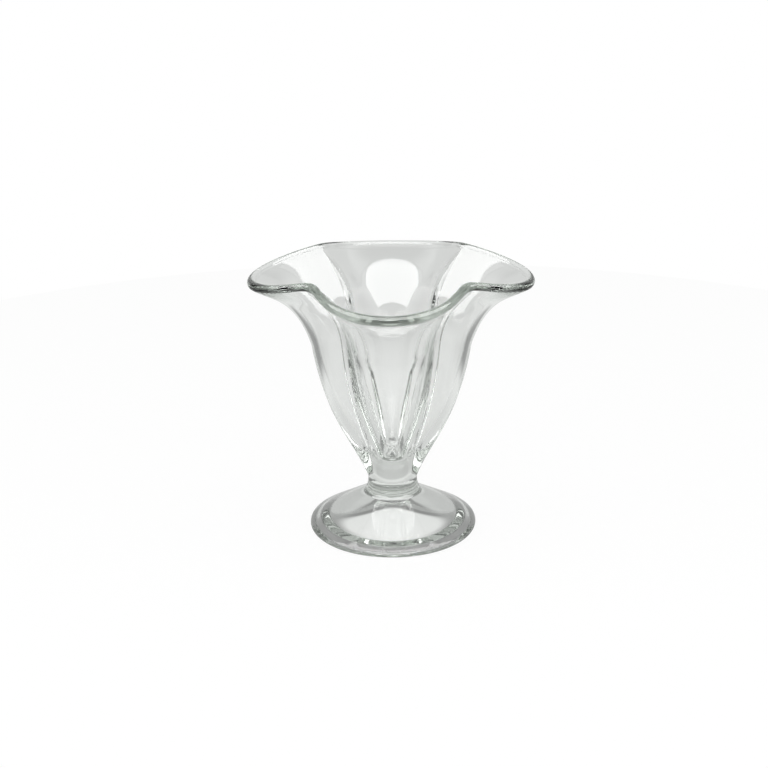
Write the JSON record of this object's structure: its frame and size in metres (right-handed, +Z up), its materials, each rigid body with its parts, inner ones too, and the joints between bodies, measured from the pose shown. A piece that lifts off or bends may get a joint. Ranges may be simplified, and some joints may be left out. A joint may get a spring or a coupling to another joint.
{
  "type": "parfait glass",
  "caption": "Clear pressed-glass parfait glass: a tall bowl with flared lobes and a rounded rim, on a short stem and a hollow conical foot.",
  "frame": {"origin": "on the glass's axis, in the plane that it stands on", "axes": "+Z up along the glass's axis, with a lobe facing each of +X, -X, +Y and -Y and the creases between the lobes at 45 degrees"},
  "size_m": [0.1242, 0.1242, 0.1229],
  "materials": {
    "clear_glass": "fire-polished pressed soda-lime glass, faintly green at its edges"
  },
  "bodies": {
    "root": {"bowl": "clear_glass", "stem": "clear_glass", "foot": "clear_glass"}
  },
  "joints": []
}
